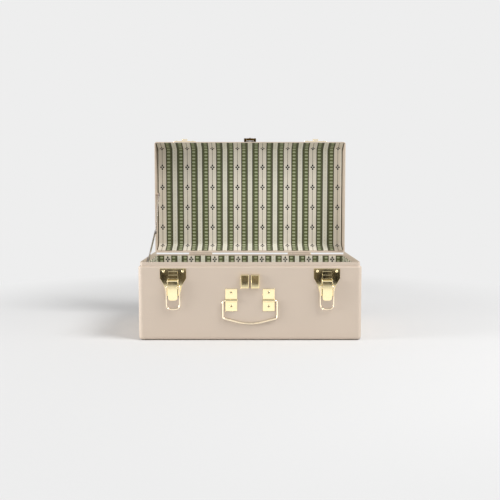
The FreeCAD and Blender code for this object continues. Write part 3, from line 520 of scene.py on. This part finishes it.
def recessShadeAndDirtMaterial():
    # Painted shade and dirt for the screws' cross recesses: dark olive brown, dull and grainy
    material, tree, shader = startMaterial("recessShadeAndDirtDark", {"Roughness": 0.75})
    colour = addGrain(tree, recessShadeAndDirtLook["dark"], recessShadeAndDirtLook["light"], recessShadeAndDirtLook["grainScale"], 3.0)[1]
    tree.links.new(colour.outputs[2], shader.inputs["Base Color"])
    return material


paint = powderCoatMaterial()
recessShadeAndDirt = recessShadeAndDirtMaterial()
brass = polishedMaterial("polishedBrassLacquered", brassLook)
highlightBrass = polishedMaterial("brassWithPaintedHighlight", highlightBrassLook)
darkBrass = polishedMaterial("darkBrass", darkBrassLook)
nickel = polishedMaterial("polishedNickelPlate", nickelLook)
lidTicking = tickingMaterial("cottonTickingLid", lidTickingLook)
caseTicking = tickingMaterial("cottonTickingCase", caseTickingLook)
board = boardMaterial()
print("materials made")

# Modelling helpers


def bakePlace(piece):
    selectOnly(piece)
    bpy.ops.object.transform_apply(location=True, rotation=True, scale=True)


def editOnly(piece):
    selectOnly(piece)
    bpy.ops.object.mode_set(mode="EDIT")
    bpy.ops.mesh.select_all(action="DESELECT")


def selectEdges(piece, test):
    bpy.ops.mesh.select_mode(type="EDGE")
    bpy.ops.mesh.select_all(action="DESELECT")
    mesh = bmesh.from_edit_mesh(piece.data)
    for edge in mesh.edges:
        edge.select = test(edge.verts[0].co, edge.verts[1].co)
    bmesh.update_edit_mesh(piece.data)


def selectFaces(piece, test):
    bpy.ops.mesh.select_mode(type="FACE")
    bpy.ops.mesh.select_all(action="DESELECT")
    mesh = bmesh.from_edit_mesh(piece.data)
    for face in mesh.faces:
        face.select = test(face.normal)
    bmesh.update_edit_mesh(piece.data)


def extrudeBy(*step):
    bpy.ops.mesh.extrude_region_move(TRANSFORM_OT_translate={"value": step})


def roundEdges(reach, segments):
    bpy.ops.mesh.bevel(offset=reach, segments=segments, affect="EDGES")


def applyModifier(piece, kind, settings):
    selectOnly(piece)
    modifier = piece.modifiers.new(kind.lower(), kind)
    for key, value in settings.items():
        setattr(modifier, key, value)
    bpy.ops.object.modifier_apply(modifier=modifier.name)


def smoothPiece(piece):
    selectOnly(piece)
    bpy.ops.object.shade_smooth_by_angle(angle=math.radians(smoothAngle))


def writeClothPlace(piece, placeOf):
    layer = piece.data.uv_layers.get("clothPlace") or piece.data.uv_layers.new(name="clothPlace")
    for face in piece.data.polygons:
        for loop in face.loop_indices:
            corner = piece.data.vertices[piece.data.loops[loop].vertex_index].co
            layer.data[loop].uv = placeOf(corner, face.normal)


# Lid lining: one sheet over the lower wall, the panel and the upper wall, as cut flat

lidCloth = {
    "halfWidth": 0.2046,
    "endReach": 0.0037,                # the ends lie in the rounded corners of the shell
    "endTurn": (0.15, 0.2652),         # y, z of the middle that the ends are drawn towards
    "endShares": (0.87, 0.985),
    "thickness": 0.001,
    "panelY": 0.1642,
    "panelLow": 0.15760,
    "panelHigh": 0.37280,
    "lowerEdge": (0.13800, 0.14711),   # y, z of the sheet's lower edge
    "upperKnee": (0.13265, 0.38540),
    "upperEdge": (0.12800, 0.38540),
    "foldReach": 0.0045,
    "foldSegments": 6,
    "foldNear": 0.001,                 # the panel's last millimetre counts as part of the fold
    "edgeReach": 0.0012,
    "edgeSegments": 3,
}


def lidClothPlace(corner, normal):
    # across is x, along is the length over the folds, equal to z on the panel
    if corner.z < lidCloth["panelLow"] + lidCloth["foldNear"]:
        run = math.hypot(lidCloth["panelY"] - corner.y, corner.z - lidCloth["panelLow"])
        return (corner.x, lidCloth["panelLow"] - run)
    if corner.z > lidCloth["panelHigh"] - lidCloth["foldNear"]:
        run = math.hypot(lidCloth["panelY"] - corner.y, corner.z - lidCloth["panelHigh"])
        return (corner.x, lidCloth["panelHigh"] + run)
    return (corner.x, corner.z)


def buildLidCloth():
    panelY, low, high = lidCloth["panelY"], lidCloth["panelLow"], lidCloth["panelHigh"]
    kneeY, kneeZ = lidCloth["upperKnee"]
    halfWidth = lidCloth["halfWidth"]
    middle = (low + high) / 2
    deselectAll()
    bpy.ops.mesh.primitive_plane_add(size=1.0, location=(0, panelY, middle), rotation=(math.radians(90), 0, 0))
    piece = bpy.context.object
    piece.name = "lidLiningCloth"
    piece.scale = (halfWidth * 2, high - low, 1)
    bakePlace(piece)
    editOnly(piece)
    # the lower wall, then the upper wall and its turned edge
    selectEdges(piece, lambda a, b: max(a.z, b.z) < middle)
    extrudeBy(0, lidCloth["lowerEdge"][0] - panelY, lidCloth["lowerEdge"][1] - low)
    selectEdges(piece, lambda a, b: min(a.z, b.z) > high - lidCloth["foldNear"])
    extrudeBy(0, kneeY - panelY, kneeZ - high)
    extrudeBy(0, lidCloth["upperEdge"][0] - kneeY, 0)
    selectEdges(piece, lambda a, b: max(abs(a.y - panelY), abs(b.y - panelY), abs(a.z - b.z)) < tiny)
    roundEdges(lidCloth["foldReach"], lidCloth["foldSegments"])
    selectEdges(piece, lambda a, b: max(abs(a.y - kneeY), abs(b.y - kneeY)) < tiny)
    roundEdges(lidCloth["edgeReach"], lidCloth["edgeSegments"])
    # the two ends
    for side in (-1, 1):
        selectEdges(piece, lambda a, b: min(a.x * side, b.x * side) > halfWidth - tiny)
        extrudeBy(side * lidCloth["endReach"], 0, 0)
        bpy.ops.transform.resize(value=(1, *lidCloth["endShares"]), center_override=(0, *lidCloth["endTurn"]))
        selectEdges(piece, lambda a, b: max(abs(a.x * side - halfWidth), abs(b.x * side - halfWidth)) < tiny)
        roundEdges(lidCloth["edgeReach"], lidCloth["edgeSegments"])
    bpy.ops.object.mode_set(mode="OBJECT")
    writeClothPlace(piece, lidClothPlace)
    applyModifier(piece, "SOLIDIFY", {"thickness": lidCloth["thickness"], "offset": -1.0})
    smoothPiece(piece)
    useMaterial(piece, lidTicking)
    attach(piece, "lid")
    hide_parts("lid_lining")


buildLidCloth()
print("lid lining laid")

# Case lining: a ring of the same cloth, and a loose floor sheet

caseCloth = {
    "halfWidth": 0.205,
    "halfDepth": 0.117,
    "low": 0.0020,
    "high": 0.1370,
    "cornerRadius": 0.004,
    "cornerSegments": 8,
    "thickness": 0.001,
}
floorCloth = {
    "halfWidth": 0.2047,
    "halfDepth": 0.1167,
    "top": 0.0030,
    "thickness": 0.001,
    "cornerRadius": 0.004,
    "cornerSegments": 6,
    "edgeReach": 0.0003,
    "edgeSegments": 2,
}


def caseClothPlace(corner, normal):
    # across is x on the front and the back, y on the ends; along is z
    if abs(normal.y) >= abs(normal.x):
        return (corner.x, corner.z)
    return (corner.y, corner.z)


def floorClothPlace(corner, normal):
    return (corner.x, corner.y)


def buildCaseCloth():
    tall = caseCloth["high"] - caseCloth["low"]
    deselectAll()
    bpy.ops.mesh.primitive_cube_add(size=1.0, location=(0, 0, (caseCloth["high"] + caseCloth["low"]) / 2))
    piece = bpy.context.object
    piece.name = "caseLiningCloth"
    piece.scale = (caseCloth["halfWidth"] * 2, caseCloth["halfDepth"] * 2, tall)
    bakePlace(piece)
    editOnly(piece)
    selectFaces(piece, lambda normal: abs(normal.z) > 0.9)
    bpy.ops.mesh.delete(type="FACE")
    selectEdges(piece, lambda a, b: abs(a.z - b.z) > tall / 2)
    roundEdges(caseCloth["cornerRadius"], caseCloth["cornerSegments"])
    bpy.ops.mesh.select_all(action="SELECT")
    bpy.ops.mesh.flip_normals()
    bpy.ops.object.mode_set(mode="OBJECT")
    writeClothPlace(piece, caseClothPlace)
    applyModifier(piece, "SOLIDIFY", {"thickness": caseCloth["thickness"], "offset": -1.0})
    smoothPiece(piece)
    useMaterial(piece, caseTicking)
    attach(piece, "case")
    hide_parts("case_lining")


def buildFloorCloth():
    thickness = floorCloth["thickness"]
    deselectAll()
    bpy.ops.mesh.primitive_cube_add(size=1.0, location=(0, 0, floorCloth["top"] - thickness / 2))
    piece = bpy.context.object
    piece.name = "floorLiningCloth"
    piece.scale = (floorCloth["halfWidth"] * 2, floorCloth["halfDepth"] * 2, thickness)
    bakePlace(piece)
    editOnly(piece)
    selectEdges(piece, lambda a, b: abs(a.z - b.z) > thickness / 2)
    roundEdges(floorCloth["cornerRadius"], floorCloth["cornerSegments"])
    selectEdges(piece, lambda a, b: min(a.z, b.z) > floorCloth["top"] - tiny)
    roundEdges(floorCloth["edgeReach"], floorCloth["edgeSegments"])
    bpy.ops.object.mode_set(mode="OBJECT")
    writeClothPlace(piece, floorClothPlace)
    smoothPiece(piece)
    useMaterial(piece, caseTicking)
    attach(piece, "case")
    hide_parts("case_floor_lining")


buildCaseCloth()
buildFloorCloth()
print("case lining laid")

# Dark fill in the cross recesses of the handle screws: painted shade, and dirt

recess = {
    "reach": 0.0020,                   # half of the cross
    "halfWidth": 0.00046,
    "depth": 0.00025,
    "faceY": -0.12375,                 # the face of the dark fill, a little under the crown of the head
    "across": (-0.0352, 0.0352),       # the four screws
    "heights": (0.0651, 0.0909),
    "edgeReach": 0.00008,
    "edgeSegments": 2,
}


def buildRecessShadeAndDirt(number, middle):
    arm = recess["reach"] - recess["halfWidth"]
    deselectAll()
    bpy.ops.mesh.primitive_plane_add(size=recess["halfWidth"] * 2, location=middle,
                                     rotation=(math.radians(90), 0, 0))
    piece = bpy.context.object
    piece.name = "screwRecessShadeAndDirt.%d" % number
    bakePlace(piece)
    editOnly(piece)
    for way in ((1, 0, 0), (-1, 0, 0), (0, 0, 1), (0, 0, -1)):
        outward = Vector(way)
        selectEdges(piece, lambda a, b: min((a - middle).dot(outward), (b - middle).dot(outward))
                    > recess["halfWidth"] - tiny)
        extrudeBy(*(outward * arm))
    bpy.ops.object.mode_set(mode="OBJECT")
    applyModifier(piece, "SOLIDIFY", {"thickness": recess["depth"], "offset": -1.0})
    applyModifier(piece, "BEVEL", {"width": recess["edgeReach"], "segments": recess["edgeSegments"]})
    smoothPiece(piece)
    useMaterial(piece, recessShadeAndDirt)
    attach(piece, "case")


screws = [Vector((across, recess["faceY"], height)) for across in recess["across"] for height in recess["heights"]]
for number, screw in enumerate(screws):
    buildRecessShadeAndDirt(number, screw)
print("screw recesses filled")

# The frame's own pieces, by how their names begin; the others are brass

finishes = (
    (paint, ("case_wall", "case_bottom", "case_collar", "lid_shell", "hinge_case", "hinge_lid", "stay_lid_boss")),
    (nickel, ("stay_lower_arm", "stay_upper_arm", "stay_case_stud")),
    (darkBrass, ("hasp_plate", "hasp_flap", "hasp_pin")),
    # the wires and strikes get the paler brass: painted highlight
    (highlightBrass, ("handle_bail", "latch_loop", "strike_left", "strike_right")),
    (board, ("case_floor_board",)),
    (caseTicking, ("case_lining", "case_floor_lining")),
    (lidTicking, ("lid_lining",)),
)
for name, node in nodes.items():
    useMaterial(node, brass)
    for material, beginnings in finishes:
        if name.startswith(beginnings):
            useMaterial(node, material)
print("frame pieces finished")
